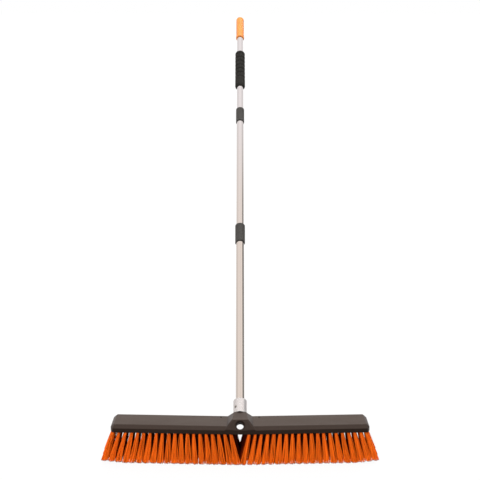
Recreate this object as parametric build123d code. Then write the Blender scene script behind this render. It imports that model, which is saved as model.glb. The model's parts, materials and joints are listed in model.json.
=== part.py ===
from build123d import *
from math import atan2, cos, degrees, radians, sin, tan
import os

# Push broom for paths and yards: a moulded head with fanned bristles, and a telescopic
# steel handle that screws into one of two slanted sockets and has two twist locks.
# Frame: +Z up, +X along the head, +Y to the handle's side, origin on the ground.
# Driving dimensions, in millimetres and degrees.

# Head block
HEAD_LENGTH = 610.0
HEAD_DEPTH = 72.0
RIM_HEIGHT = 10.0
SHOULDER = 7.5
SWEEP_ANGLE = 2.4
CORNER_CLIP_LENGTH = 5.0
CORNER_CLIP_DEPTH = 10.0
RIM_EDGE_RADIUS = 1.5
TOP_EDGE_RADIUS = 3.0

# Hub with the two sockets; its top widths are given over the block's front and rear faces
SOCKET_ANGLE = 32.0
SOCKET_DIAMETER = 20.0
SOCKET_RISE = 12.6
SOCKET_DEPTH = 23.5
SOCKET_LEAD = 1.5
CORE_DIAMETER = 17.5
HUB_HEIGHT = 22.0
HUB_FRONT_WIDTH = 42.0
HUB_REAR_WIDTH = 25.0
HUB_BASE_WIDTH = 76.0
HUB_EDGE_RADIUS = 5.0
HUB_TOP_RADIUS = 1.5

# Pilot holes for a handle brace
BRACE_HOLE_DIAMETER = 5.0
BRACE_HOLE_DEPTH = 12.0
BRACE_HOLE_REACH = 46.5
BRACE_HOLE_BACK = 22.0

# Bristles: tufts in rows, each tuft as two flaring strands
TRIM_LENGTH = 81.0
TUFT_COLUMNS = 20
TUFT_ROWS = 5
FIRST_TUFT = 22.6
TUFT_PITCH = 14.47
ROW_PITCH = 12.6
INNER_TIP = 7.3
OUTER_TIP = 322.0
ROW_FAN = 4.0
END_RISE = 4.8
END_COLUMNS = 3
STRAND_ROOT_WIDTH = 3.3
STRAND_ROOT_DEPTH = 5.2
STRAND_TIP_WIDTH = 6.8
STRAND_TIP_DEPTH = 7.0
STRAND_GAP = 0.5
BACKING_THICKNESS = 3.0
BACKING_MARGIN = 1.0
BACKING_CLEARANCE = 0.1

# Ferrule, spigot and rivet at the foot of the handle
FERRULE_DIAMETER = 33.0
FERRULE_WALL = 1.0
FERRULE_LENGTH = 38.0
FERRULE_CONE = 4.0
SPIGOT_END_GAP = 1.0
SPIGOT_NOSE_RADIUS = 7.0
SPIGOT_FLOOR = 8.0
RIVET_DIAMETER = 4.0
RIVET_HEAD_DIAMETER = 6.5
RIVET_HEAD_HEIGHT = 0.9
RIVET_DOME_RADIUS = 0.7
RIVET_HEIGHT = 15.5
RIVET_TURN = 41.0
RIVET_BITE = 2.0

# Telescopic tubes
LOWER_TUBE_DIAMETER = 21.2
TUBE_WALL = 0.35
SLIDE_CLEARANCE = 0.15
LOWER_TUBE_SHOWN = 511.0
MIDDLE_TUBE_SHOWN = 420.5
TOP_TUBE_SHOWN = 102.5
TOP_TUBE_BARE = 76.0
TUBE_INSERTION = 66.0

# Twist locks
LOWER_LOCK_DIAMETER = 26.7
LOWER_LOCK_LENGTH = 63.5
UPPER_LOCK_DIAMETER = 24.4
UPPER_LOCK_LENGTH = 57.0
LOCK_BAND = 11.0
LOCK_GAP = 0.4
LOCK_SEAT = 30.0
LOCK_NECK_WALL = 0.7
LOCK_LIP = 4.0
LOCK_CROWN_RADIUS = 2.0
NUT_CLEARANCE = 0.3
NUT_FLUTES = 18
FLUTE_DEPTH = 0.35
FLUTE_WIDTH = 1.8
FLUTE_MARGIN = 5.0
COLLET_SLITS = 4
COLLET_SLIT_WIDTH = 1.4
COLLET_FLOOR = 6.0
COLLET_TAPER = 8.0

# Guide bushes on the tubes' inner ends
BUSH_HEAD = 10.0
BUSH_SHANK = 22.0
BUSH_WALL = 1.6

# Grip and end cap
GRIP_DIAMETER = 30.4
GRIP_LENGTH = 165.0
GRIP_END_RADIUS = 3.0
CAP_DIAMETER = 24.6
CAP_LENGTH = 102.5
CAP_DOME = 9.0
CAP_BAND_DIAMETER = 25.6
CAP_BAND = 9.0
CAP_CROWN = 6.0

# Fits
SNUG = 0.05
RUNNING = 0.05
THREAD_CLEARANCE = 0.2
SEAT_CLEARANCE = 0.5

# How near an edge lies to the station it is picked by
STATION_MATCH = 0.01

# Heights on the head
RIM_TOP = TRIM_LENGTH + RIM_HEIGHT
BLOCK_TOP = RIM_TOP + SHOULDER
HUB_TOP = RIM_TOP + HUB_HEIGHT
HALF_LENGTH = HEAD_LENGTH / 2
HALF_DEPTH = HEAD_DEPTH / 2

# Tubes nest with one clearance
MIDDLE_TUBE_DIAMETER = LOWER_TUBE_DIAMETER - 2 * (TUBE_WALL + SLIDE_CLEARANCE)
TOP_TUBE_DIAMETER = MIDDLE_TUBE_DIAMETER - 2 * (TUBE_WALL + SLIDE_CLEARANCE)

# Stations along the handle, from the mouth of its socket
SPIGOT_NOSE_LENGTH = SOCKET_DEPTH - SPIGOT_END_GAP
LOWER_LOCK_START = FERRULE_LENGTH + FERRULE_CONE + LOWER_TUBE_SHOWN
LOWER_LOCK_END = LOWER_LOCK_START + LOWER_LOCK_LENGTH
UPPER_LOCK_START = LOWER_LOCK_END + MIDDLE_TUBE_SHOWN
UPPER_LOCK_END = UPPER_LOCK_START + UPPER_LOCK_LENGTH
GRIP_START = UPPER_LOCK_END + TOP_TUBE_SHOWN
CAP_START = GRIP_START + GRIP_LENGTH + TOP_TUBE_BARE
CAP_END = CAP_START + CAP_LENGTH
LOWER_TUBE_END = LOWER_LOCK_START + LOCK_SEAT
MIDDLE_TUBE_START = LOWER_TUBE_END - TUBE_INSERTION
MIDDLE_TUBE_END = UPPER_LOCK_START + LOCK_SEAT
TOP_TUBE_START = MIDDLE_TUBE_END - TUBE_INSERTION
TOP_TUBE_END = CAP_END - CAP_CROWN

# Sockets: mouths on the hub's two slanted faces, handle in the rear one
LEAN = radians(SOCKET_ANGLE)
MOUTH_Y = HALF_DEPTH - SOCKET_RISE * sin(LEAN)
MOUTH_Z = RIM_TOP + SOCKET_RISE * cos(LEAN)
REAR_SOCKET = Plane((0, MOUTH_Y, MOUTH_Z), x_dir=(1, 0, 0), z_dir=(0, cos(LEAN), sin(LEAN)))
FRONT_SOCKET = Plane((0, -MOUTH_Y, MOUTH_Z), x_dir=(1, 0, 0), z_dir=(0, -cos(LEAN), sin(LEAN)))


def swept(along, back):
    """Plan point on the right half of the head, which sweeps back from the middle."""
    turn = radians(SWEEP_ANGLE)
    return (along * cos(turn) - back * sin(turn), along * sin(turn) + back * cos(turn))


def turned(*profile):
    """Solid of revolution about the handle's axis, from (radius, station) points."""
    face = Plane.XZ * make_face(Polyline(*profile, close=True))
    return revolve(face, Axis.Z)


def pipe(outer, inner, low, high):
    """Plain sleeve about the handle's axis, by its two diameters."""
    return turned((inner / 2, low), (outer / 2, low), (outer / 2, high), (inner / 2, high))


def rod(diameter, low, high):
    """Plain round bar about the handle's axis."""
    return turned((0, low), (diameter / 2, low), (diameter / 2, high), (0, high))


def circles_at(solid, station):
    """Circular edges of a turned piece at one station."""
    circles = solid.edges().filter_by(GeomType.CIRCLE)
    return circles.filter_by_position(Axis.Z, station - STATION_MATCH, station + STATION_MATCH)


def sloped_side(distance, angle):
    """Slab whose side at a distance, facing a plan angle, has the rim and the sloped shoulder."""
    inside = -HEAD_LENGTH
    profile = make_face(Polyline(
        (inside, TRIM_LENGTH), (distance, TRIM_LENGTH), (distance, RIM_TOP),
        (distance - SHOULDER, BLOCK_TOP), (inside, BLOCK_TOP), close=True,
    ))
    rim_corner = profile.vertices().sort_by_distance((distance, RIM_TOP))[0]
    profile = fillet(rim_corner, RIM_EDGE_RADIUS)
    top_corner = profile.vertices().sort_by_distance((distance - SHOULDER, BLOCK_TOP))[0]
    profile = fillet(top_corner, TOP_EDGE_RADIUS)
    return Rot(0, 0, angle) * extrude(Plane.XZ * profile, HEAD_LENGTH, both=True)


def head_half():
    """Right half of the block, with its outer corners clipped, swept back from the middle."""
    clip = atan2(CORNER_CLIP_LENGTH, CORNER_CLIP_DEPTH)
    clip_distance = HALF_LENGTH * cos(clip) + (HALF_DEPTH - CORNER_CLIP_DEPTH) * sin(clip)
    half = sloped_side(HALF_LENGTH, 0)
    for side in (-1, 1):
        half = half & sloped_side(HALF_DEPTH, side * 90) & sloped_side(clip_distance, side * degrees(clip))
    from_middle = (Align.MIN, Align.CENTER, Align.CENTER)
    right_side = Box(HEAD_LENGTH, HEAD_LENGTH, HEAD_LENGTH, align=from_middle)
    return (Rot(0, 0, SWEEP_ANGLE) * half) & right_side


def head_middle():
    """Upright prism on the plan of the head's two halves, which trims the hub."""
    middle = HALF_DEPTH / cos(radians(SWEEP_ANGLE))
    front = swept(HALF_LENGTH, -HALF_DEPTH)
    rear = swept(HALF_LENGTH, HALF_DEPTH)
    plan = make_face(Polyline(
        (0, -middle), front, rear, (0, middle), (-rear[0], rear[1]), (-front[0], front[1]), close=True,
    ))
    return extrude(Pos(0, 0, TRIM_LENGTH) * plan, HUB_TOP - TRIM_LENGTH)


def hub():
    """Boss with slanted faces square to the two sockets, its top narrower to the rear."""
    foot = HUB_BASE_WIDTH / 2
    sections = []
    for width, back in ((HUB_FRONT_WIDTH, -HALF_DEPTH), (HUB_REAR_WIDTH, HALF_DEPTH)):
        outline = Polyline(
            (-foot, RIM_TOP), (foot, RIM_TOP), (width / 2, HUB_TOP), (-width / 2, HUB_TOP), close=True,
        )
        sections.append(Plane.XZ.offset(-back) * make_face(outline))
    top_edge = HALF_DEPTH - HUB_HEIGHT * tan(LEAN)
    side = make_face(Polyline(
        (-HALF_DEPTH, RIM_TOP), (HALF_DEPTH, RIM_TOP), (top_edge, HUB_TOP), (-top_edge, HUB_TOP), close=True,
    ))
    boss = loft(sections, ruled=True) & extrude(Plane.YZ * side, HUB_BASE_WIDTH, both=True)
    slanted = [e for e in boss.edges() if e.bounding_box().size.Z > HUB_HEIGHT / 2]
    boss = fillet(slanted, HUB_EDGE_RADIUS)
    boss = fillet(boss.faces().sort_by(Axis.Z)[-1].edges(), HUB_TOP_RADIUS)
    return boss + extrude(boss.faces().sort_by(Axis.Z)[0], RIM_HEIGHT)


def backing_plan(clearance):
    """Plan of one half's bristle backing, grown by a clearance."""
    reach = STRAND_ROOT_WIDTH + STRAND_GAP / 2 + BACKING_MARGIN
    start = FIRST_TUFT - TUFT_PITCH / 2 - reach - clearance
    end = FIRST_TUFT + (TUFT_COLUMNS - 1) * TUFT_PITCH + reach + clearance
    depth = (TUFT_ROWS - 1) * ROW_PITCH + STRAND_ROOT_DEPTH + 2 * (BACKING_MARGIN + clearance)
    plan = Pos((start + end) / 2, 0, TRIM_LENGTH) * Rectangle(end - start, depth)
    return Rot(0, 0, SWEEP_ANGLE) * plan


def head_block():
    """Moulded block: rim, sloped shoulders, hub, both sockets and the bristle seats."""
    half = head_half()
    block = half + mirror(half, Plane.YZ)
    block += hub() & head_middle()
    past = HEAD_DEPTH
    bore = SOCKET_DIAMETER / 2
    lead_in = turned((0, -SOCKET_LEAD), (bore, -SOCKET_LEAD), (bore + SOCKET_LEAD, 0), (0, 0))
    for socket in (FRONT_SOCKET, REAR_SOCKET):
        block -= socket * lead_in
        block -= socket * rod(SOCKET_DIAMETER, -SOCKET_DEPTH, past)
        block -= socket * rod(CORE_DIAMETER, -past, past)
    block -= REAR_SOCKET * rod(FERRULE_DIAMETER + 2 * SEAT_CLEARANCE, 0, past)
    seat = extrude(backing_plan(BACKING_CLEARANCE), BACKING_THICKNESS)
    block -= [seat, mirror(seat, Plane.YZ)]
    hole = Pos(*swept(BRACE_HOLE_REACH, BRACE_HOLE_BACK), BLOCK_TOP) * Cylinder(
        BRACE_HOLE_DIAMETER / 2, BRACE_HOLE_DEPTH, align=(Align.CENTER, Align.CENTER, Align.MAX),
    )
    return block - [hole, mirror(hole, Plane.YZ)]


def corners(centre, width, depth, height):
    """Corners of a level rectangle about an (along, back) centre, in order round it."""
    along, back = centre
    signs = ((-1, -1), (1, -1), (1, 1), (-1, 1))
    return [(along + i * width / 2, back + j * depth / 2, height) for i, j in signs]


def strand(root, tip, rise):
    """One strand with four flat sides between two (along, back) centres, flaring to its tip."""
    top = corners(root, STRAND_ROOT_WIDTH, STRAND_ROOT_DEPTH, TRIM_LENGTH + BACKING_THICKNESS / 2)
    bottom = corners(tip, STRAND_TIP_WIDTH, STRAND_TIP_DEPTH, rise)
    sides = [(bottom[i - 1], bottom[i], top[i], top[i - 1]) for i in range(len(top))]
    return Solid(Shell([Face(Wire.make_polygon(points)) for points in (bottom, top, *sides)]))


def bristles():
    """Right half's bristles: staggered rows that fan out, their tips level but for the last few."""
    mitre = tan(radians(SWEEP_ANGLE))
    tip_pitch = (OUTER_TIP - INNER_TIP) / (TUFT_COLUMNS - 1)
    strands = []
    for row in range(TUFT_ROWS):
        back = (row - (TUFT_ROWS - 1) / 2) * ROW_PITCH
        back_tip = back + TRIM_LENGTH * tan(radians(ROW_FAN * back / HALF_DEPTH))
        stagger = (row % 2) / 2
        row_tip_pitch = tip_pitch - stagger * tip_pitch / (TUFT_COLUMNS - 1)
        for column in range(TUFT_COLUMNS):
            before_last = TUFT_COLUMNS - 1 - column
            row_mitre = mitre * before_last / (TUFT_COLUMNS - 1)
            along = FIRST_TUFT + (column - stagger) * TUFT_PITCH + back * row_mitre
            along_tip = INNER_TIP + column * row_tip_pitch + back_tip * row_mitre
            rise = END_RISE * max(0, 1 - before_last / END_COLUMNS)
            for side in (-1, 1):
                root = (along + side * (STRAND_GAP + STRAND_ROOT_WIDTH) / 2, back)
                tip = (along_tip + side * (STRAND_GAP + STRAND_TIP_WIDTH) / 2, back_tip)
                strands.append(Rot(0, 0, SWEEP_ANGLE) * strand(root, tip, rise))
    backing = extrude(backing_plan(0), BACKING_THICKNESS)
    return backing + strands


def ferrule():
    """Steel cup round the handle's foot, drawn in to the tube by a short cone."""
    outer = FERRULE_DIAMETER / 2
    inner = outer - FERRULE_WALL
    neck = LOWER_TUBE_DIAMETER / 2 + SNUG
    top = FERRULE_LENGTH + FERRULE_CONE
    cup = turned(
        (inner, 0), (outer, 0), (outer, FERRULE_LENGTH), (neck + FERRULE_WALL, top), (neck, top),
        (neck, top - FERRULE_WALL), (inner, FERRULE_LENGTH - FERRULE_WALL),
    )
    return cup - rivet_hole()


def spigot():
    """Plug in the ferrule: pocket for the tube above, threaded nose for the socket below."""
    body = FERRULE_DIAMETER / 2 - FERRULE_WALL - SNUG
    nose = SOCKET_DIAMETER / 2 - THREAD_CLEARANCE
    pocket = LOWER_TUBE_DIAMETER / 2 + SNUG
    top = FERRULE_LENGTH - FERRULE_WALL - SNUG
    plug = turned(
        (0, -SPIGOT_NOSE_LENGTH), (nose, -SPIGOT_NOSE_LENGTH), (nose, 0), (body, 0), (body, top),
        (pocket, top), (pocket, SPIGOT_FLOOR), (0, SPIGOT_FLOOR),
    )
    plug = fillet(circles_at(plug, -SPIGOT_NOSE_LENGTH), SPIGOT_NOSE_RADIUS)
    return plug - rivet_hole()


def rivet_plane():
    """Radial plane on the ferrule's surface, where the rivet's head sits."""
    turn = radians(RIVET_TURN)
    outward = (-sin(turn), -cos(turn), 0)
    radius = FERRULE_DIAMETER / 2
    return Plane((radius * outward[0], radius * outward[1], RIVET_HEIGHT), z_dir=outward)


def rivet_length():
    """From the ferrule's surface to just inside the tube's wall."""
    return (FERRULE_DIAMETER - LOWER_TUBE_DIAMETER) / 2 + TUBE_WALL + RIVET_BITE


def rivet_hole():
    """Hole through ferrule, spigot and tube for the rivet."""
    return rivet_plane() * rod(RIVET_DIAMETER + 2 * SNUG, -rivet_length() - SNUG, FERRULE_WALL)


def ferrule_rivet():
    """Rivet that pins ferrule, spigot and tube together, with a low domed head."""
    head = RIVET_HEAD_DIAMETER / 2
    sag = FERRULE_DIAMETER / 2 - (FERRULE_DIAMETER ** 2 / 4 - head ** 2) ** 0.5
    shank = rod(RIVET_DIAMETER, -rivet_length(), RIVET_HEAD_HEIGHT)
    dome = rod(RIVET_HEAD_DIAMETER, -sag, RIVET_HEAD_HEIGHT)
    dome = fillet(circles_at(dome, RIVET_HEAD_HEIGHT), RIVET_DOME_RADIUS)
    placed = rivet_plane() * (shank + dome)
    flush = placed - rod(FERRULE_DIAMETER + 2 * SNUG, 0, FERRULE_LENGTH)
    return flush + rivet_plane() * shank


def tube(diameter, low, high):
    """Thin steel tube between two stations."""
    return pipe(diameter, diameter - 2 * TUBE_WALL, low, high)


def lock_base(diameter, tube_diameter, start):
    """Band at the foot of a twist lock, with the neck that the nut turns on."""
    bore = tube_diameter / 2 + SNUG
    neck = bore + LOCK_NECK_WALL
    return turned(
        (bore, start), (diameter / 2, start), (diameter / 2, start + LOCK_BAND), (neck, start + LOCK_BAND),
        (neck, start + LOCK_SEAT), (bore, start + LOCK_SEAT),
    )


def lock_collet(tube_diameter, inner_diameter, start, length):
    """Slit collet on the tube's end that the nut squeezes onto the inner tube."""
    bore = inner_diameter / 2 + RUNNING
    wall = tube_diameter / 2 + SNUG + LOCK_NECK_WALL
    low = start + LOCK_SEAT
    high = start + length - LOCK_LIP - LOCK_GAP
    sleeve = turned(
        (bore, low), (wall, low), (wall, high - COLLET_TAPER),
        (bore + LOCK_NECK_WALL, high), (bore, high),
    )
    slit = Box(
        tube_diameter, COLLET_SLIT_WIDTH, high - low - COLLET_FLOOR,
        align=(Align.MIN, Align.CENTER, Align.MIN),
    )
    for turn in range(COLLET_SLITS):
        sleeve -= Rot(0, 0, turn * 360 / COLLET_SLITS) * Pos(0, 0, low + COLLET_FLOOR) * slit
    return sleeve


def lock_nut(diameter, tube_diameter, inner_diameter, start, length):
    """Fluted nut of a twist lock, with a rounded crown round the inner tube."""
    neck = tube_diameter / 2 + SNUG + LOCK_NECK_WALL + NUT_CLEARANCE
    mouth = inner_diameter / 2 + NUT_CLEARANCE
    low = start + LOCK_BAND + LOCK_GAP
    high = start + length
    nut = turned(
        (neck, low), (diameter / 2, low), (diameter / 2, high), (mouth, high),
        (mouth, high - LOCK_LIP), (neck, high - LOCK_LIP),
    )
    rim = circles_at(nut, high).sort_by(SortBy.RADIUS)[-1]
    nut = fillet(rim, LOCK_CROWN_RADIUS)
    height = high - low - 2 * FLUTE_MARGIN
    flute = Pos(diameter / 2, 0, low + FLUTE_MARGIN + height / 2) * Box(2 * FLUTE_DEPTH, FLUTE_WIDTH, height)
    return nut - [Rot(0, 0, turn * 360 / NUT_FLUTES) * flute for turn in range(NUT_FLUTES)]


def guide_bush(outer_diameter, inner_diameter, start):
    """Bush pushed into a tube's inner end, whose head runs in the tube outside."""
    head = outer_diameter / 2 - TUBE_WALL - RUNNING
    shank = inner_diameter / 2 - TUBE_WALL - SNUG
    bore = shank - BUSH_WALL
    return turned(
        (bore, start - BUSH_HEAD), (head, start - BUSH_HEAD), (head, start), (shank, start),
        (shank, start + BUSH_SHANK), (bore, start + BUSH_SHANK),
    )


def foam_grip():
    """Foam sleeve on the top tube, with rounded ends."""
    end = GRIP_START + GRIP_LENGTH
    sleeve = pipe(GRIP_DIAMETER, TOP_TUBE_DIAMETER + 2 * SNUG, GRIP_START, end)
    rims = [circles_at(sleeve, station).sort_by(SortBy.RADIUS)[-1] for station in (GRIP_START, end)]
    return fillet(rims, GRIP_END_RADIUS)


def end_cap():
    """Domed cap over the tube's end, with a thicker band at its mouth."""
    bore = TOP_TUBE_DIAMETER / 2 + SNUG
    body = CAP_DIAMETER / 2
    band = CAP_BAND_DIAMETER / 2
    cap = turned(
        (bore, CAP_START), (band, CAP_START), (band, CAP_START + CAP_BAND), (body, CAP_START + CAP_BAND),
        (body, CAP_END), (0, CAP_END), (0, TOP_TUBE_END), (bore, TOP_TUBE_END),
    )
    return fillet(circles_at(cap, CAP_END), CAP_DOME)


def handle_pieces():
    """Every piece of the handle, by node name, about the handle's own axis."""
    lower = LOWER_TUBE_DIAMETER
    middle = MIDDLE_TUBE_DIAMETER
    top = TOP_TUBE_DIAMETER
    return {
        "ferrule": ferrule(),
        "threaded_spigot": spigot(),
        "ferrule_rivet": ferrule_rivet(),
        "lower_tube": tube(lower, SPIGOT_FLOOR, LOWER_TUBE_END) - rivet_hole(),
        "lower_lock_base": lock_base(LOWER_LOCK_DIAMETER, lower, LOWER_LOCK_START),
        "lower_lock_collet": lock_collet(lower, middle, LOWER_LOCK_START, LOWER_LOCK_LENGTH),
        "lower_lock_nut": lock_nut(LOWER_LOCK_DIAMETER, lower, middle, LOWER_LOCK_START, LOWER_LOCK_LENGTH),
        "middle_guide_bush": guide_bush(lower, middle, MIDDLE_TUBE_START),
        "middle_tube": tube(middle, MIDDLE_TUBE_START, MIDDLE_TUBE_END),
        "upper_lock_base": lock_base(UPPER_LOCK_DIAMETER, middle, UPPER_LOCK_START),
        "upper_lock_collet": lock_collet(middle, top, UPPER_LOCK_START, UPPER_LOCK_LENGTH),
        "upper_lock_nut": lock_nut(UPPER_LOCK_DIAMETER, middle, top, UPPER_LOCK_START, UPPER_LOCK_LENGTH),
        "top_guide_bush": guide_bush(middle, top, TOP_TUBE_START),
        "top_tube": tube(top, TOP_TUBE_START, TOP_TUBE_END),
        "foam_grip": foam_grip(),
        "end_cap": end_cap(),
    }


def assembly():
    """All nodes in the broom's own frame."""
    right = bristles()
    nodes = {"head_block": head_block(), "right_bristles": right, "left_bristles": mirror(right, Plane.YZ)}
    for name, piece in handle_pieces().items():
        nodes[name] = REAR_SOCKET * piece
    return nodes


os.makedirs("parts", exist_ok=True)
for node, solid in assembly().items():
    export_step(solid, "parts/" + node + ".step")
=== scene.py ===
import json
import math

import bpy
import numpy as np
from mathutils import Matrix, Vector


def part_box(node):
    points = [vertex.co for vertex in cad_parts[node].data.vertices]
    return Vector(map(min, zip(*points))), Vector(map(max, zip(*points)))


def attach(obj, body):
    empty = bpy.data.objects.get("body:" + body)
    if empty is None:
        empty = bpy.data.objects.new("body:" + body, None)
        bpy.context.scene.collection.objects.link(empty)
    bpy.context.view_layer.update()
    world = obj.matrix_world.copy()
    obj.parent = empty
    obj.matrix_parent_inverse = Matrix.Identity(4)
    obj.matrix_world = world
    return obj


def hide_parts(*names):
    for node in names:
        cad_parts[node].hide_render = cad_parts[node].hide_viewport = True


# Looks of a push broom: filaments in tufts, moulded plastic, polished steel and foam.
# Everything is in metres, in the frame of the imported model.
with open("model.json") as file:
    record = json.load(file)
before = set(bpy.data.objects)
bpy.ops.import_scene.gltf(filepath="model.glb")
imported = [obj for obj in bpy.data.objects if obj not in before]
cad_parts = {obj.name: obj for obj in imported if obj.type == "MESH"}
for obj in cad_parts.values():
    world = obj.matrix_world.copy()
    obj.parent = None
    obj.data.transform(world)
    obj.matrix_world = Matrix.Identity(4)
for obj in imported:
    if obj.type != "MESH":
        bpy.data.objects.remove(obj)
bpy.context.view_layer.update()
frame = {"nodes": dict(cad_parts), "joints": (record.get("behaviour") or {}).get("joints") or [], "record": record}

# Units and directions of the frame
MM_PER_METRE = 1000
RIGHTWARD = (1, 0, 0)
BACKWARD = (0, 1, 0)

# Picture: the photograph's view, as a camera on the plane of symmetry
IMAGE_SIZE = 480
FOCAL_PIXELS = 1161.0
SENSOR_WIDTH = 36.0
CAMERA_PLACE = (0.0, -2.5284, 1.2707)
CAMERA_TILT = math.radians(74.003)
AXIS_PIXEL = 240.1

# Head, as in the solids
SWEEP = math.radians(2.4)
TRIM_LENGTH = 0.081
HALF_DEPTH = 0.036
SOCKET_LEAD = 0.0015

# Tufts: rows and columns on each half, where their tips spread to, and how far the tips of
# the last columns rise
TUFT_COLUMNS = 20
TUFT_ROWS = 5
FIRST_TUFT = 0.0226
TUFT_PITCH = 0.01447
ROW_PITCH = 0.0126
INNER_TIP = 0.0073
OUTER_TIP = 0.322
ROW_FAN = math.radians(4.0)
END_RISE = 0.0048
END_COLUMNS = 3

# Every other row is shifted by a share of the pitch: by half next to the middle, and by less
# towards the ends, where light shows between the roots
STAGGER_INNER = 0.5
STAGGER_OUTER = 0.17

# Towards the rear, the tufts next to the middle lean over it and pass those of the other half
LEAN_OVER = 0.0078
LEAN_COLUMNS = 5
LEAN_PASS = 0.004
LEAN_GROWTH = 3

# Filaments of one tuft: their size, the shares of their length that have a ring, and how far
# they spread along and across the head. The tips are scattered, further up on the outside of
# the tuft (dome) and cut unevenly (ragged).
FILAMENTS = 44
FILAMENT_THICKNESS = 0.0012
FILAMENT_RINGS = (0.0, 0.25, 0.5, 0.75, 0.97, 1.0)
FILAMENT_SIDES = 4
FILAMENT_TAPER = 0.9
ROOT_SPREAD = (0.0027, 0.0030)
TIP_SPREAD = (0.0088, 0.0062)
TIP_SCATTER = 0.0006
TIP_DOME = 0.0013
TIP_RAGGED = 0.0009
RAGGED_SHAPE = (1.0, 2.2)
BOW = 0.0008
SEED = 7

# Turn from one filament to the next that fills a round tuft evenly
GOLDEN_TURN = math.pi * (3 - math.sqrt(5))

# Painted shade of the filaments, from 0 (dark) over DEEP_SHADE (a deep red, as shade among the
# orange filaments looks) to 1 (vivid): vivid where the outside of the brush is lit, which starts
# at these distances of a root, a little darker at the roots as in the block's shadow, in painted
# shadow towards the roots inside the brush, and one painted shade on all the cut tips, as their
# shaded ends
OUTSIDE_BACK = (0.0235, 0.0258)
OUTSIDE_ALONG = (0.25, 0.295)
OUTSIDE_SHADE = (0.8, 1.0)
INSIDE_TIP_SHADE = 0.6
INSIDE_FADE = 6
TIP_SHADE = 0.6
SHADE_SCATTER = 0.12
DEEP_SHADE = 0.5

# Underside of each half, with its tuft holes
PLATE_MARGIN = (0.0046, 0.0036)
HOLE_RADIUS = 0.0038
HOLE_DEPTH = 0.0022
HOLE_SIDES = 16

# Screw thread of the sockets and the spigot
THREAD_PITCH = 0.005
THREAD_WIDTH = 0.0022
THREAD_CREST_WIDTH = 0.0011
THREAD_STEPS = 40
THREAD_SINK = 0.0003
THREAD_RUNOUT = 0.25
SOCKET_CREST = 0.0086
SPIGOT_CORE = 0.0085
SPIGOT_CREST = 0.0098
SPIGOT_DOME = 0.005
SPIGOT_BODY = 0.01545
SPIGOT_POCKET = 0.01065
SPIGOT_FLOOR = 0.008

# Turned pieces
LATHE_CENTRE = 0.0001
LATHE_SIDES = 72
ARC_STEPS = 8

# Foam grip, with painted shade in the grooves of its rings (GRIP_RING_SHADE)
GRIP_RADIUS = 0.0151
GRIP_BORE = 0.00965
GRIP_END_ROUND = 0.0055
GRIP_STEPS = 260
GRIP_RING_PITCH = 0.0183
GRIP_RING_DEPTH = 0.0011
GRIP_RING_WIDTH = 0.006
GRIP_RING_SHARE = 0.76
GRIP_RING_SHADE = 0.45

# Finishes: the scale of each noise, per metre, its detail, what it takes from a roughness and
# adds to it, and the height of a relief. Noise is used between the two values of NOISE_RANGE.
NOISE_RANGE = (0.3, 0.7)
FLOW_SCALE = (9, 26, 26)
FLOW_DETAIL = 4
FLOW_ROUGHNESS = (-0.05, 0.06)
GRAIN_DETAIL = 2
GRAIN_HEIGHT = 0.00006
MARK_SCALE = (900, 900, 5)
MARK_DETAIL = 2
MARK_HEIGHT = 0.000004
CLOUD_SCALE = (30, 30, 6)
CLOUD_DETAIL = 3
CLOUD_ROUGHNESS = (-0.03, 0.05)
STRAND_SCALE = (700, 700, 60)
STRAND_DETAIL = 2
STRAND_ROUGHNESS = (-0.06, 0.08)
STRAND_SPECULAR = 0.2
FOAM_SCALE = (70, 70, 70)
FOAM_DETAIL = 4
FOAM_SPECULAR = 0.25
CELL_SCALE = 900
CELL_HEIGHT = 0.00025
WHITE = (1, 1, 1)
BLACK = (0, 0, 0)

# Floor: white to the camera but for the broom's shadow, dark to matt surfaces, and in
# reflections dark in front of the broom and bright behind it
FLOOR_REACH = 12.0
FLOOR_GLOW = 0.92
FLOOR_SEEN = (0.8, 0.8, 0.8)
FLOOR_BOUNCE = (0.12, 0.115, 0.11)
FLOOR_BRIGHT = (0.85, 0.8, 0.77)
FLOOR_GRADE = (-0.1, 0.3)

# Room that shows in reflections: bright above and behind, dimmer in front but for a low
# window, and paler in a band of directions along the handle. Short of that band it has a dark
# flag at right and a dim gap overhead.
ROOM_BRIGHT = (1.08, 0.95, 0.865)
ROOM_PALE = (1.05, 1.0, 1.02)
ROOM_PALE_START = (0.66, 0.76)
ROOM_PALE_END = (0.83, 0.91)
ROOM_DIM = (0.1, 0.093, 0.088)
ROOM_LIGHT = (0.0, 0.45, 0.89)
ROOM_GRADE = (-0.35, 0.55)
ROOM_SIDE_FALL = 0.5
WINDOW_PLACE = (0.0, -0.98, 0.2)
WINDOW_EDGE = math.radians(32)
WINDOW_CORE = math.radians(15)
WINDOW_LEVEL = 0.7
FLAG_PLACE = (0.72, 0.66, 0.1)
FLAG_EDGE = math.radians(34)
FLAG_CORE = math.radians(22)
FLAG_DARK = 1.0
GAP_DARK = 0.3
GAP_EDGES = (0.006, 0.05)
AMBIENT = (0.3, 0.29, 0.28)

# Lights: direction each comes from, strength and softness
LIGHTS = {
    "key": ((-0.4, -1.0, 0.55), 3.7, math.radians(25)),
    "top": ((0.15, 0.3, 1.0), 1.2, math.radians(40)),
    "back": ((0.25, 1.0, 0.65), 2.8, math.radians(40)),
    "side": ((1.0, -0.1, 0.45), 1.1, math.radians(40)),
}

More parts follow.
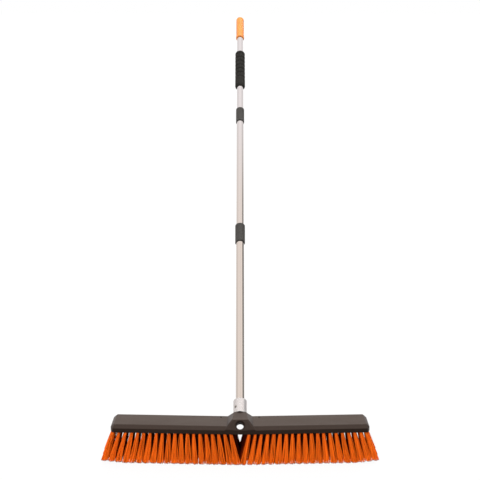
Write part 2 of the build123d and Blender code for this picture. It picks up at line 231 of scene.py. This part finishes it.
# Sockets and handle, from the record: the handle's axis starts at the mouth of the rear socket
RECORD = frame["record"]
MOUNTS = {mount["name"]: mount for mount in RECORD["mounts"]}
JOINTS = {joint["name"]: joint for joint in frame["joints"]}
SOCKET = MOUNTS["front_socket"]
SOCKET_RADIUS = SOCKET["dims"]["r_mm"] / MM_PER_METRE
SOCKET_WALL = SOCKET["dims"]["length_mm"] / MM_PER_METRE
FRONT_AXIS = Vector(SOCKET["axis"])
FRONT_MOUTH = Vector(SOCKET["pos_m"]) + FRONT_AXIS * (SOCKET_WALL / 2 + SOCKET_LEAD)
HANDLE_AXIS = Vector(JOINTS["middle_slide"]["axis"])
HANDLE_MOUTH = Vector((FRONT_MOUTH.x, -FRONT_MOUTH.y, FRONT_MOUTH.z))


def looking_along(origin, axis):
    """Matrix of a frame at origin whose Z runs along axis and whose X stays level."""
    z = axis.normalized()
    x = Vector(RIGHTWARD)
    y = z.cross(x)
    matrix = Matrix((x, y, z)).transposed().to_4x4()
    matrix.translation = origin
    return matrix


HANDLE_FRAME = looking_along(HANDLE_MOUTH, HANDLE_AXIS)
FRONT_FRAME = looking_along(FRONT_MOUTH, FRONT_AXIS)


def station_range(node):
    """Lowest and highest station of a node along the handle's axis."""
    vertices = frame["nodes"][node].data.vertices
    stations = [(vertex.co - HANDLE_MOUTH).dot(HANDLE_AXIS) for vertex in vertices]
    return min(stations), max(stations)


# Node helpers


class Tree:
    """Node tree of a material or a world, with short ways to add to it."""

    def __init__(self, owner):
        owner.use_nodes = True
        self.tree = owner.node_tree

    def add(self, kind, **settings):
        """A new node with some of its properties set."""
        node = self.tree.nodes.new(kind)
        for key, value in settings.items():
            setattr(node, key, value)
        return node

    def feed(self, source, target):
        """Link a socket to an input, or set the input to a plain value."""
        if isinstance(source, bpy.types.NodeSocket):
            self.tree.links.new(source, target)
        elif isinstance(source, tuple) and target.type == "RGBA":
            target.default_value = (*source, 1)
        else:
            target.default_value = source

    def value(self, operation, first, second):
        """Result of an operation on two values."""
        node = self.add("ShaderNodeMath", operation=operation)
        self.feed(first, node.inputs[0])
        self.feed(second, node.inputs[1])
        return node.outputs["Value"]

    def product(self, first, second):
        """Two values multiplied."""
        return self.value("MULTIPLY", first, second)

    def rest(self, value):
        """What a value leaves of 1."""
        return self.value("SUBTRACT", 1.0, value)

    def along(self, vector, direction):
        """How far a vector points along a direction."""
        node = self.add("ShaderNodeVectorMath", operation="DOT_PRODUCT")
        self.feed(vector, node.inputs[0])
        self.feed(Vector(direction).normalized(), node.inputs[1])
        return node.outputs["Value"]

    def ranged(self, value, low, high, edges, kind="LINEAR"):
        """What goes from low to high while a value goes from one edge to the other."""
        node = self.add("ShaderNodeMapRange", interpolation_type=kind)
        limits = {"From Min": edges[0], "From Max": edges[1], "To Min": low, "To Max": high}
        for socket, number in limits.items():
            node.inputs[socket].default_value = number
        self.feed(value, node.inputs["Value"])
        return node.outputs["Result"]

    def eased(self, value, low, high, edges):
        """The same with a smooth start and end."""
        return self.ranged(value, low, high, edges, kind="SMOOTHSTEP")

    def spot(self, toward, place, edge, core, level):
        """A level near a direction, from nothing at the edge's angle to all at the core's."""
        return self.eased(self.along(toward, place), 0, level, (math.cos(edge), math.cos(core)))

    def blend(self, factor, first, second):
        """Colour that goes from one colour to another with a factor."""
        node = self.add("ShaderNodeMix", data_type="RGBA")
        self.feed(factor, node.inputs["Factor"])
        self.feed(first, node.inputs["A"])
        self.feed(second, node.inputs["B"])
        return node.outputs["Result"]

    def either(self, factor, first, second):
        """Surface that goes from one to another with a factor."""
        node = self.add("ShaderNodeMixShader")
        self.feed(factor, node.inputs["Fac"])
        self.feed(first, node.inputs[1])
        self.feed(second, node.inputs[2])
        return node.outputs["Shader"]

    def shine(self, kind, color):
        """Output of a node that has only a colour, such as a background or an emission."""
        node = self.add(kind)
        self.feed(color, node.inputs["Color"])
        return node.outputs[0]


class Shader(Tree):
    """A node material that starts as a principled surface."""

    def __init__(self, name, color, roughness, metallic=0.0, specular=0.5):
        self.material = bpy.data.materials.new(name)
        super().__init__(self.material)
        self.surface = self.tree.nodes["Principled BSDF"]
        self.roughness = roughness
        self.set("Base Color", color)
        self.set("Roughness", roughness)
        self.set("Metallic", metallic)
        self.set("Specular IOR Level", specular)
        self.coordinates = self.add("ShaderNodeTexCoord").outputs["Object"]

    def set(self, socket, source):
        """Set or link an input of the surface."""
        self.feed(source, self.surface.inputs[socket])

    def mapped(self, scale, turn=0.0):
        """Object coordinates turned about X and scaled."""
        mapping = self.add("ShaderNodeMapping")
        mapping.inputs["Rotation"].default_value = (turn, 0, 0)
        self.feed(self.coordinates, mapping.inputs["Vector"])
        stretch = self.add("ShaderNodeVectorMath", operation="MULTIPLY")
        self.feed(mapping.outputs["Vector"], stretch.inputs[0])
        self.feed(scale, stretch.inputs[1])
        return stretch.outputs["Vector"]

    def noise(self, vector, detail, scale=1.0):
        """Noise at a vector."""
        node = self.add("ShaderNodeTexNoise")
        node.inputs["Scale"].default_value = scale
        node.inputs["Detail"].default_value = detail
        self.feed(vector, node.inputs["Vector"])
        return node.outputs["Fac"]

    def painted_shade_and_tone(self):
        """Painted shade, with the filaments' random tone, that the mesh holds at its vertices."""
        return self.add("ShaderNodeAttribute", attribute_name="painted_shade_and_tone").outputs["Fac"]

    def mottle(self, noise, color, pale):
        """Colour that goes from one to a paler one with a noise."""
        return self.blend(self.ranged(noise, 0, 1, NOISE_RANGE), color, pale)

    def roughen(self, noise, spread):
        """Let the roughness follow a noise."""
        low, high = (self.roughness + change for change in spread)
        self.set("Roughness", self.ranged(noise, low, high, NOISE_RANGE))

    def bump(self, height, distance):
        """Fine relief of the surface."""
        node = self.add("ShaderNodeBump")
        node.inputs["Distance"].default_value = distance
        self.feed(height, node.inputs["Height"])
        self.set("Normal", node.outputs["Normal"])


# Materials


def moulded_plastic(name, color, pale, roughness, grain, specular=0.5, gloss=WHITE):
    """Satin moulded plastic: fine grain, faint flow marks and uneven gloss."""
    shader = Shader(name, color, roughness, specular=specular)
    shader.set("Specular Tint", gloss)
    flow = shader.noise(shader.mapped(FLOW_SCALE), FLOW_DETAIL)
    shader.set("Base Color", shader.mottle(flow, color, pale))
    shader.roughen(flow, FLOW_ROUGHNESS)
    shader.bump(shader.noise(shader.coordinates, GRAIN_DETAIL, scale=grain), GRAIN_HEIGHT)
    return shader


def polished_steel(name, color, roughness, metallic=1.0):
    """Drawn and polished tube: faint marks along the handle."""
    shader = Shader(name, color, roughness, metallic=metallic)
    turn = math.atan2(HANDLE_AXIS.y, HANDLE_AXIS.z)
    marks = shader.noise(shader.mapped(MARK_SCALE, turn), MARK_DETAIL)
    cloud = shader.noise(shader.mapped(CLOUD_SCALE, turn), CLOUD_DETAIL)
    shader.roughen(cloud, CLOUD_ROUGHNESS)
    shader.bump(marks, MARK_HEIGHT)
    return shader


def filament_plastic(name, dark, deep, vivid, roughness):
    """Drawn filaments: each its own tone, painted darker and redder among the inner rows as shade."""
    shader = Shader(name, vivid, roughness, specular=STRAND_SPECULAR)
    painted_shade_and_tone = shader.painted_shade_and_tone()
    low = shader.blend(shader.ranged(painted_shade_and_tone, 0, 1, (0, DEEP_SHADE)), dark, deep)
    high = shader.ranged(painted_shade_and_tone, 0, 1, (DEEP_SHADE, 1))
    shader.set("Base Color", shader.blend(high, low, vivid))
    shader.roughen(shader.noise(shader.mapped(STRAND_SCALE), STRAND_DETAIL), STRAND_ROUGHNESS)
    return shader


def foam(name, color, pale, roughness):
    """Closed-cell foam: dull, finely pitted, and painted darker in its ring grooves as shade."""
    shader = Shader(name, color, roughness, specular=FOAM_SPECULAR)
    cells = shader.add("ShaderNodeTexVoronoi")
    cells.inputs["Scale"].default_value = CELL_SCALE
    shader.feed(shader.coordinates, cells.inputs["Vector"])
    cloud = shader.noise(shader.mapped(FOAM_SCALE), FOAM_DETAIL)
    even = shader.mottle(cloud, color, pale)
    # the shade held at the vertices darkens the colour towards black: painted shade in the grooves
    shader.set("Base Color", shader.blend(shader.painted_shade_and_tone(), BLACK, even))
    shader.bump(cells.outputs["Distance"], CELL_HEIGHT)
    return shader


# One material for each slot of the record, and those of the nodes that differ from their slot
MATERIALS = {
    "head_plastic": moulded_plastic(
        "head_plastic", color=(0.0115, 0.006, 0.0038), pale=(0.0148, 0.0082, 0.0055),
        roughness=0.42, grain=2600, specular=0.7, gloss=(1.0, 0.93, 0.9),
    ),
    # dark and deep are painted shade colours for filaments in shadow; vivid is their own orange
    "bristle": filament_plastic(
        "bristle_filament", dark=(0.03, 0.002, 0.0005), deep=(0.3, 0.025, 0.002),
        vivid=(1.0, 0.18, 0.01), roughness=0.45,
    ),
    "polished_steel": polished_steel(
        "polished_steel", color=(0.79, 0.77, 0.755), roughness=0.1,
    ),
    "lock_plastic": moulded_plastic(
        "lock_plastic", color=(0.03, 0.029, 0.027), pale=(0.037, 0.036, 0.034),
        roughness=0.5, grain=2200,
    ),
    "bush_plastic": moulded_plastic(
        "bush_plastic", color=(0.7, 0.69, 0.66), pale=(0.76, 0.75, 0.72),
        roughness=0.45, grain=2200,
    ),
    "spigot_plastic": moulded_plastic(
        "spigot_plastic", color=(0.02, 0.02, 0.021), pale=(0.027, 0.027, 0.028),
        roughness=0.42, grain=2200,
    ),
    "foam": foam(
        "grip_foam", color=(0.016, 0.0155, 0.014), pale=(0.024, 0.023, 0.021), roughness=0.92,
    ),
    "cap_plastic": moulded_plastic(
        "cap_plastic", color=(0.77, 0.255, 0.05), pale=(0.8, 0.272, 0.057),
        roughness=0.36, grain=2600,
    ),
}
OWN_MATERIALS = {
    "ferrule": polished_steel(
        "ferrule_steel", color=(0.66, 0.65, 0.66), roughness=0.26, metallic=0.65,
    ),
    "ferrule_rivet": polished_steel(
        "rivet_steel", color=(0.36, 0.35, 0.34), roughness=0.3,
    ),
}


# Mesh helpers


def piece_from(name, vertices, faces, slot, body, smooth=True):
    """A new piece that rides on a body and has the finish of a slot."""
    mesh = bpy.data.meshes.new(name)
    mesh.from_pydata(vertices, [], faces)
    mesh.update()
    mesh.polygons.foreach_set("use_smooth", [smooth] * len(mesh.polygons))
    mesh.materials.append(MATERIALS[slot].material)
    piece = bpy.data.objects.new(name, mesh)
    bpy.context.scene.collection.objects.link(piece)
    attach(piece, body)
    return piece


def add_painted_shade_and_tone(piece, shades):
    """Painted shade at each vertex of a piece, with the filaments' random tone, for its material."""
    painted_shade_and_tone = piece.data.attributes.new("painted_shade_and_tone", "FLOAT", "POINT")
    painted_shade_and_tone.data.foreach_set("value", np.asarray(shades, dtype=np.float32))


def round_point(radius, angle, height):
    """Point at a radius, an angle and a height about Z."""
    return Vector((radius * math.cos(angle), radius * math.sin(angle), height))


def lathe(profile, matrix):
    """Vertices and faces of a ring of (radius, height) points, turned about Z and placed."""
    vertices = []
    for radius, height in profile:
        for step in range(LATHE_SIDES):
            angle = 2 * math.pi * step / LATHE_SIDES
            vertices.append(matrix @ round_point(radius, angle, height))
    faces = []
    count = len(profile)
    for row in range(count):
        here = row * LATHE_SIDES
        above = (row + 1) % count * LATHE_SIDES
        for step in range(LATHE_SIDES):
            beside = (step + 1) % LATHE_SIDES
            faces.append((here + step, here + beside, above + beside, above + step))
    return vertices, faces


def arc(centre, radius, start, end):
    """Points of an arc in a lathe's (radius, height) plane, by its angles in degrees."""
    points = []
    for step in range(ARC_STEPS + 1):
        angle = math.radians(start + (end - start) * step / ARC_STEPS)
        out = centre[0] + radius * math.cos(angle)
        up = centre[1] + radius * math.sin(angle)
        points.append((out, up))
    return points


def thread(wall, crest, start, end, phase, matrix):
    """Vertices and faces of a helical ridge from a wall radius to a crest radius."""
    turns = (end - start) / THREAD_PITCH
    steps = int(turns * THREAD_STEPS)
    vertices = []
    for step in range(steps + 1):
        share = step / steps
        angle = 2 * math.pi * (turns * share + phase)
        height = start + (end - start) * share
        runout = min(1.0, min(step, steps - step) / (THREAD_STEPS * THREAD_RUNOUT))
        peak = wall + (crest - wall) * runout
        section = (
            (wall, -THREAD_WIDTH / 2), (peak, -THREAD_CREST_WIDTH / 2),
            (peak, THREAD_CREST_WIDTH / 2), (wall, THREAD_WIDTH / 2),
        )
        for radius, rise in section:
            vertices.append(matrix @ round_point(radius, angle, height + rise))
    corners = len(section)
    faces = []
    for step in range(steps):
        here = step * corners
        after = here + corners
        for corner in range(corners):
            beside = (corner + 1) % corners
            faces.append((here + corner, here + beside, after + beside, after + corner))
    faces.append(tuple(range(corners)))
    faces.append(tuple(reversed(range(steps * corners, (steps + 1) * corners))))
    return vertices, faces


# Bristles


def swept(along, back, side):
    """Plan point on one half of the head, which sweeps back from the middle."""
    x = along * math.cos(SWEEP) - back * math.sin(SWEEP)
    y = along * math.sin(SWEEP) + back * math.cos(SWEEP)
    return side * x, y


def tufts(side):
    """Root, tip and height of the tip of each tuft of one half; ends as (along, back) pairs."""
    mitre = math.tan(SWEEP)
    tip_pitch = (OUTER_TIP - INNER_TIP) / (TUFT_COLUMNS - 1)
    for row in range(TUFT_ROWS):
        back = (row - (TUFT_ROWS - 1) / 2) * ROW_PITCH
        back_tip = back + TRIM_LENGTH * math.tan(ROW_FAN * back / HALF_DEPTH)
        odd = row % 2
        row_lean = (row / (TUFT_ROWS - 1)) ** LEAN_GROWTH
        for column in range(TUFT_COLUMNS):
            before_last = TUFT_COLUMNS - 1 - column
            inner = before_last / (TUFT_COLUMNS - 1)
            row_mitre = mitre * inner
            stagger = odd * (STAGGER_OUTER + (STAGGER_INNER - STAGGER_OUTER) * inner)
            along = FIRST_TUFT + (column - stagger) * TUFT_PITCH + back * row_mitre
            tip_place = (column - odd * STAGGER_OUTER) * tip_pitch
            along_tip = INNER_TIP + tip_place + back_tip * row_mitre
            rise = END_RISE * max(0, 1 - before_last / END_COLUMNS)
            lean = row_lean * max(0, 1 - column / LEAN_COLUMNS) ** 2
            tip = (along_tip - LEAN_OVER * lean, back_tip + side * LEAN_PASS * lean)
            yield (along, back), tip, rise


def outside_share(along, back):
    """How far a filament is on the outside of the brush, from 0 (painted in shade) to 1 (lit), by its root's
    place.
    """
    by_side = (abs(back) - OUTSIDE_BACK[0]) / (OUTSIDE_BACK[1] - OUTSIDE_BACK[0])
    by_end = (along - OUTSIDE_ALONG[0]) / (OUTSIDE_ALONG[1] - OUTSIDE_ALONG[0])
    return min(1.0, max(0.0, by_side, by_end))


def painted_ring_shades(outside):
    """Painted shade of a filament at each of its rings: lit outside, in shadow inside, darker at the tip."""
    share = np.array(FILAMENT_RINGS)
    vivid = OUTSIDE_SHADE[0] + (OUTSIDE_SHADE[1] - OUTSIDE_SHADE[0]) * np.sqrt(share)
    dark = INSIDE_TIP_SHADE * share ** INSIDE_FADE
    shade = outside * vivid + (1 - outside) * dark
    shade[-1] = TIP_SHADE
    return shade


def filament_lines(side, rng):
    """Root, tip, bow, and painted shade with its own random tone at each ring, of every filament of one half."""
    roots, tips, bows, shades = [], [], [], []
    for root, tip, rise in tufts(side):
        turn = rng.uniform(0, 2 * math.pi)
        for index in range(FILAMENTS):
            reach = math.sqrt((index + 0.5) / FILAMENTS)
            angle = turn + GOLDEN_TURN * index
            across, deep = reach * math.cos(angle), reach * math.sin(angle)
            start = (root[0] + ROOT_SPREAD[0] * across, root[1] + ROOT_SPREAD[1] * deep)
            scatter = rng.normal(0, TIP_SCATTER, 2)
            end = (
                tip[0] + TIP_SPREAD[0] * across + scatter[0],
                tip[1] + TIP_SPREAD[1] * deep + scatter[1],
            )
            own = 1 - SHADE_SCATTER * rng.uniform(0, 1)
            roots.append((*swept(*start, side), TRIM_LENGTH + HOLE_DEPTH))
            height = rise + TIP_DOME * reach ** 2 + TIP_RAGGED * rng.beta(*RAGGED_SHAPE)
            tips.append((*swept(*end, side), height))
            bows.append((*rng.normal(0, BOW, 2), 0))
            shades.append(painted_ring_shades(outside_share(*start)) * own)
    return np.array(roots), np.array(tips), np.array(bows), np.array(shades)


def filaments(name, side, replaced):
    """All filaments of one half as slender rods, bowed most at half their length."""
    rng = np.random.default_rng(SEED + side)
    roots, tips, bows, shades = filament_lines(side, rng)
    share = np.array(FILAMENT_RINGS)
    rings = len(share)
    angles = np.arange(FILAMENT_SIDES) * 2 * math.pi / FILAMENT_SIDES
    section = np.stack([np.cos(angles), np.sin(angles), np.zeros(FILAMENT_SIDES)], axis=1)
    line = roots[:, None] + (tips - roots)[:, None] * share[None, :, None]
    bend = 4 * share * (1 - share)
    line += bows[:, None] * bend[None, :, None]
    radius = FILAMENT_THICKNESS / 2 * (1 + (FILAMENT_TAPER - 1) * share)
    points = line[:, :, None] + section[None, None] * radius[None, :, None, None]
    vertices = points.reshape(-1, 3).tolist()

    faces = []
    per_filament = rings * FILAMENT_SIDES
    for filament in range(len(roots)):
        first = filament * per_filament
        for ring in range(rings - 1):
            low = first + ring * FILAMENT_SIDES
            high = low + FILAMENT_SIDES
            for corner in range(FILAMENT_SIDES):
                beside = (corner + 1) % FILAMENT_SIDES
                faces.append((low + beside, low + corner, high + corner, high + beside))
        faces.append(tuple(range(first, first + FILAMENT_SIDES)))
        last = first + per_filament - FILAMENT_SIDES
        faces.append(tuple(range(last + FILAMENT_SIDES - 1, last - 1, -1)))

    piece = piece_from(name, vertices, faces, "bristle", "head")
    # painted shade of every ring, times each filament's random tone, at its vertices
    add_painted_shade_and_tone(piece, np.repeat(shades.ravel(), FILAMENT_SIDES))
    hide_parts(replaced)


def tuft_drill(name, side):
    """Temporary object with a short rod at each tuft of one half, to cut its holes with."""
    vertices, faces = [], []
    for root, *_ in tufts(side):
        first = len(vertices)
        above = first + HOLE_SIDES
        x, y = swept(*root, side)
        for height in (TRIM_LENGTH - HOLE_DEPTH, TRIM_LENGTH + HOLE_DEPTH):
            for step in range(HOLE_SIDES):
                angle = 2 * math.pi * step / HOLE_SIDES
                edge_x = x + HOLE_RADIUS * math.cos(angle)
                edge_y = y + HOLE_RADIUS * math.sin(angle)
                vertices.append((edge_x, edge_y, height))
        for step in range(HOLE_SIDES):
            beside = (step + 1) % HOLE_SIDES
            faces.append((first + step, first + beside, above + beside, above + step))
        faces.append(tuple(range(above - 1, first - 1, -1)))
        faces.append(tuple(range(above, above + HOLE_SIDES)))
    mesh = bpy.data.meshes.new(name)
    mesh.from_pydata(vertices, [], faces)
    drill = bpy.data.objects.new(name, mesh)
    bpy.context.scene.collection.objects.link(drill)
    return drill


def plate_with_holes(name, side, node):
    """Underside of one half, drilled for its tufts."""
    start = FIRST_TUFT - TUFT_PITCH / 2 - PLATE_MARGIN[0]
    end = FIRST_TUFT + (TUFT_COLUMNS - 1) * TUFT_PITCH + PLATE_MARGIN[0]
    half = (TUFT_ROWS - 1) / 2 * ROW_PITCH + PLATE_MARGIN[1]
    corners = [(start, -half), (end, -half), (end, half), (start, half)]
    count = len(corners)
    heights = (TRIM_LENGTH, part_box(node)[1].z)
    vertices = [(*swept(*corner, side), height) for height in heights for corner in corners]
    faces = [tuple(reversed(range(count))), tuple(range(count, 2 * count))]
    for corner in range(count):
        beside = (corner + 1) % count
        faces.append((corner, beside, beside + count, corner + count))
    if side < 0:
        faces = [tuple(reversed(face)) for face in faces]
    plate = piece_from(name, vertices, faces, "head_plastic", "head", smooth=False)

    drill = tuft_drill(name + "_drill", side)
    cut = plate.modifiers.new("holes", "BOOLEAN")
    cut.object = drill
    cut.operation = "DIFFERENCE"
    cut.solver = "EXACT"
    bpy.context.view_layer.update()
    graph = bpy.context.evaluated_depsgraph_get()
    drilled = bpy.data.meshes.new_from_object(plate.evaluated_get(graph))
    plate.modifiers.clear()
    plate.data = drilled
    bpy.data.objects.remove(drill)


# Handle pieces


def spigot():
    """Plug in the ferrule with its threaded nose."""
    nose, top = station_range("threaded_spigot")
    shoulder = nose + SPIGOT_DOME
    profile = [(LATHE_CENTRE, nose)]
    profile += arc((SPIGOT_CORE - SPIGOT_DOME, shoulder), SPIGOT_DOME, start=-90, end=0)
    profile += [(SPIGOT_CORE, 0.0), (SPIGOT_BODY, 0.0), (SPIGOT_BODY, top)]
    profile += [(SPIGOT_POCKET, top), (SPIGOT_POCKET, SPIGOT_FLOOR), (LATHE_CENTRE, SPIGOT_FLOOR)]
    vertices, faces = lathe(profile, HANDLE_FRAME)
    ridge_vertices, ridge_faces = thread(
        SPIGOT_CORE - THREAD_SINK, SPIGOT_CREST,
        start=shoulder, end=-THREAD_WIDTH, phase=0.0, matrix=HANDLE_FRAME,
    )
    offset = len(vertices)
    vertices += ridge_vertices
    faces += [tuple(index + offset for index in face) for face in ridge_faces]
    piece = piece_from("threaded_plug", vertices, faces, "spigot_plastic", "handle_lower")
    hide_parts("threaded_spigot")


def socket_thread(name, matrix, phase):
    """Thread in one socket of the head."""
    floor = -SOCKET_LEAD - SOCKET_WALL + THREAD_WIDTH
    mouth = -SOCKET_LEAD - THREAD_WIDTH
    vertices, faces = thread(
        SOCKET_RADIUS + THREAD_SINK, SOCKET_CREST,
        start=floor, end=mouth, phase=phase, matrix=matrix,
    )
    piece_from(name, vertices, faces, "head_plastic", "head")


def grip_foam():
    """Foam sleeve with shallow rings in its upper part, painted darker in their grooves as shade."""
    low, high = station_range("foam_grip")
    length = high - low
    core = GRIP_RADIUS - GRIP_END_ROUND
    profile = arc((core, low + GRIP_END_ROUND), GRIP_END_ROUND, start=-90, end=0)
    shades = [1.0] * len(profile)
    for step in range(1, GRIP_STEPS):
        height = low + GRIP_END_ROUND + (length - 2 * GRIP_END_ROUND) * step / GRIP_STEPS
        from_top = high - GRIP_END_ROUND - height
        in_groove = 0.0
        if from_top < length * GRIP_RING_SHARE:
            offset = from_top % GRIP_RING_PITCH - GRIP_RING_PITCH / 2
            in_groove = math.exp(-(offset / (GRIP_RING_WIDTH / 2)) ** 2)
        profile.append((GRIP_RADIUS - GRIP_RING_DEPTH * in_groove, height))
        # painted shade, darkest at the bottom of each groove
        shades.append(1 - GRIP_RING_SHADE * in_groove)
    profile += arc((core, high - GRIP_END_ROUND), GRIP_END_ROUND, start=0, end=90)
    profile += [(GRIP_BORE, high), (GRIP_BORE, low)]
    shades += [1.0] * (len(profile) - len(shades))
    vertices, faces = lathe(profile, HANDLE_FRAME)
    piece = piece_from("grip_sleeve", vertices, faces, "foam", "handle_top")
    add_painted_shade_and_tone(piece, np.repeat(shades, LATHE_SIDES))
    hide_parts("foam_grip")


# Stage


def stage_floor():
    """Level floor under the broom."""
    mesh = bpy.data.meshes.new("floor")
    corners = [(-1, -1), (1, -1), (1, 1), (-1, 1)]
    vertices = [(x * FLOOR_REACH, y * FLOOR_REACH, 0) for x, y in corners]
    mesh.from_pydata(vertices, [], [tuple(range(len(corners)))])
    floor = bpy.data.objects.new("floor", mesh)
    bpy.context.scene.collection.objects.link(floor)
    material = bpy.data.materials.new("floor_white")
    tree = Tree(material)
    tree.tree.nodes.clear()
    path = tree.add("ShaderNodeLightPath").outputs
    seen = path["Is Camera Ray"]
    matt = tree.shine("ShaderNodeBsdfDiffuse", tree.blend(seen, FLOOR_BOUNCE, FLOOR_SEEN))
    glow = tree.shine("ShaderNodeEmission", WHITE)
    white = tree.either(tree.product(seen, FLOOR_GLOW), matt, glow)
    place = tree.add("ShaderNodeTexCoord").outputs["Object"]
    behind = tree.eased(tree.along(place, BACKWARD), 0, 1, FLOOR_GRADE)
    mirrored = tree.shine("ShaderNodeEmission", tree.blend(behind, FLOOR_BOUNCE, FLOOR_BRIGHT))
    output = tree.add("ShaderNodeOutputMaterial")
    tree.feed(tree.either(path["Is Glossy Ray"], white, mirrored), output.inputs["Surface"])
    mesh.materials.append(material)


def studio_world():
    """White to the camera, dim to matt surfaces, and a graded room to reflections."""
    world = bpy.data.worlds.new("studio")
    bpy.context.scene.world = world
    tree = Tree(world)
    tree.tree.nodes.clear()
    path = tree.add("ShaderNodeLightPath").outputs
    toward = tree.add("ShaderNodeTexCoord").outputs["Generated"]

    lit = tree.eased(tree.along(toward, ROOM_LIGHT), 0, 1, ROOM_GRADE)
    sideways = tree.along(toward, RIGHTWARD)
    aside = tree.product(sideways, sideways)
    above = tree.product(lit, tree.rest(tree.product(aside, ROOM_SIDE_FALL)))
    window = tree.spot(toward, WINDOW_PLACE, WINDOW_EDGE, WINDOW_CORE, WINDOW_LEVEL)

    onward = tree.along(toward, HANDLE_AXIS)
    past = tree.eased(onward, 0, 1, ROOM_PALE_START)
    flag = tree.spot(toward, FLAG_PLACE, FLAG_EDGE, FLAG_CORE, FLAG_DARK)
    gap = tree.eased(aside, GAP_DARK, 0, GAP_EDGES)
    hidden = tree.product(tree.rest(past), tree.value("MAXIMUM", flag, gap))
    level = tree.product(tree.value("MAXIMUM", above, window), tree.rest(hidden))

    paler = tree.product(past, tree.eased(onward, 1, 0, ROOM_PALE_END))
    bright = tree.blend(paler, ROOM_BRIGHT, ROOM_PALE)
    room = tree.shine("ShaderNodeBackground", tree.blend(level, ROOM_DIM, bright))
    ambient = tree.shine("ShaderNodeBackground", AMBIENT)
    white = tree.shine("ShaderNodeBackground", WHITE)
    seen = tree.value("MAXIMUM", path["Is Camera Ray"], path["Is Transmission Ray"])
    unseen = tree.either(path["Is Glossy Ray"], ambient, room)
    output = tree.add("ShaderNodeOutputWorld")
    tree.feed(tree.either(seen, unseen, white), output.inputs["Surface"])


def far_light(name, place, strength, softness):
    """Soft far-off light from a direction, which leaves reflections to the room."""
    light = bpy.data.lights.new(name, "SUN")
    light.energy = strength
    light.angle = softness
    lamp = bpy.data.objects.new(name, light)
    bpy.context.scene.collection.objects.link(lamp)
    lamp.rotation_euler = Vector(place).to_track_quat("Z", "Y").to_euler()
    lamp.visible_glossy = False


def photo_camera():
    """Camera at the photograph's place."""
    data = bpy.data.cameras.new("camera")
    data.sensor_width = SENSOR_WIDTH
    data.lens = FOCAL_PIXELS * SENSOR_WIDTH / IMAGE_SIZE
    data.shift_x = (IMAGE_SIZE / 2 - AXIS_PIXEL) / IMAGE_SIZE
    camera = bpy.data.objects.new("camera", data)
    bpy.context.scene.collection.objects.link(camera)
    camera.location = CAMERA_PLACE
    camera.rotation_euler = (CAMERA_TILT, 0, 0)
    bpy.context.scene.camera = camera


# The broom

for subpart in RECORD["subparts"]:
    node_mesh = frame["nodes"][subpart["node"]].data
    finish = OWN_MATERIALS.get(subpart["node"], MATERIALS[subpart["material_slot"]])
    node_mesh.materials.clear()
    node_mesh.materials.append(finish.material)

for half_name, half_side in (("left", -1), ("right", 1)):
    filaments(half_name + "_filaments", half_side, half_name + "_bristles")
    plate_with_holes(half_name + "_tuft_plate", half_side, half_name + "_bristles")

spigot()
socket_thread("front_socket_thread", FRONT_FRAME, phase=0.0)
socket_thread("rear_socket_thread", HANDLE_FRAME, phase=0.5)
grip_foam()

# The studio

stage_floor()
studio_world()
for light_name, light_values in LIGHTS.items():
    far_light(light_name, *light_values)
photo_camera()
bpy.context.scene.view_settings.view_transform = "Standard"
